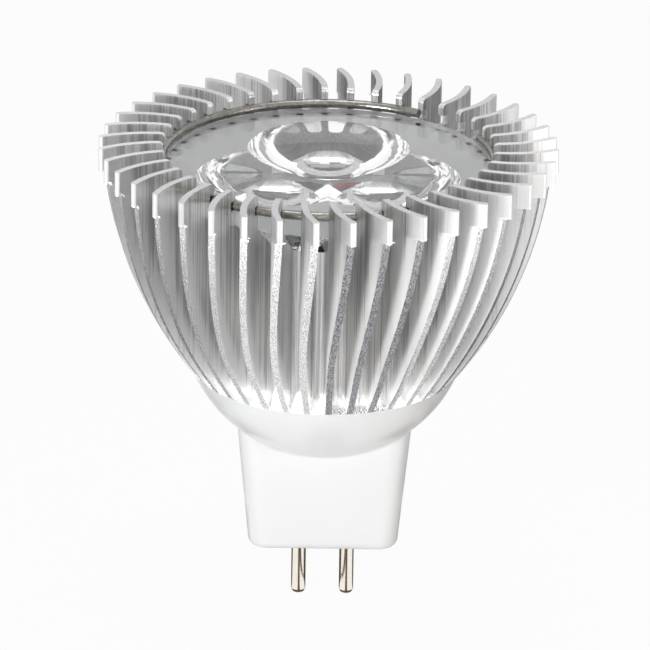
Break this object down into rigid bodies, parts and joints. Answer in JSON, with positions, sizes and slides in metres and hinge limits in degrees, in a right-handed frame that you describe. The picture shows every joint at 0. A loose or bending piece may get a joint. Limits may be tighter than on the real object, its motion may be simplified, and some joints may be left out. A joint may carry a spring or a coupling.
{
  "type": "led spotlight bulb",
  "caption": "Spot lamp bulb: a finned metal heat sink round a clear multi-cup lens held by a wire ring, on a white base with contact pins.",
  "frame": {"origin": "on the base's bottom face, midway between the contact pins", "axes": "+Z along the lamp's axis towards the light, +X from the left pin to the right pin"},
  "size_m": [0.05, 0.05, 0.0534],
  "materials": {
    "turned_aluminium": "extruded and turned, satin",
    "clear_acrylic": "clear moulded",
    "spring_steel": "dark drawn wire",
    "white_plastic": "moulded, soft gloss",
    "plated_pin": "nickel plated",
    "white_board": "solder mask on a metal board",
    "grey_pad": "soft heat-conducting sheet",
    "screw_steel": "zinc plated",
    "emitter_plastic": "moulded",
    "copper": "bare",
    "chip_coating": "yellow coating",
    "clear_dome": "clear moulded",
    "lead_tin": "tinned",
    "green_board": "solder mask",
    "ferrite": "pressed",
    "black_package": "moulded",
    "can_aluminium": "drawn can",
    "tan_ceramic": "fired",
    "red_wire": "insulation",
    "black_wire": "insulation"
  },
  "bodies": {
    "root": {"heat_sink": "turned_aluminium", "triple_lens": "clear_acrylic", "snap_ring": "spring_steel", "led_board": "white_board", "thermal_pad": "grey_pad", "board_screws": "screw_steel", "base_screws": "screw_steel", "base_housing": "white_plastic", "contact_pin_left": "plated_pin", "contact_pin_right": "plated_pin", "lead_wire_red": "red_wire", "lead_wire_black": "black_wire", "driver_board": "green_board", "inductor_core": "ferrite", "inductor_winding": "copper", "filter_capacitor": "can_aluminium", "driver_chip": "black_package", "ceramic_capacitor": "tan_ceramic", "sense_resistor": "black_package", "freewheel_diode": "black_package", "rectifier_diode_1": "black_package", "rectifier_diode_2": "black_package", "rectifier_diode_3": "black_package", "rectifier_diode_4": "black_package", "led_1_body": "emitter_plastic", "led_1_slug": "copper", "led_1_chip": "chip_coating", "led_1_dome": "clear_dome", "led_1_lead_in": "lead_tin", "led_1_lead_out": "lead_tin", "led_2_body": "emitter_plastic", "led_2_slug": "copper", "led_2_chip": "chip_coating", "led_2_dome": "clear_dome", "led_2_lead_in": "lead_tin", "led_2_lead_out": "lead_tin", "led_3_body": "emitter_plastic", "led_3_slug": "copper", "led_3_chip": "chip_coating", "led_3_dome": "clear_dome", "led_3_lead_in": "lead_tin", "led_3_lead_out": "lead_tin"}
  },
  "joints": []
}
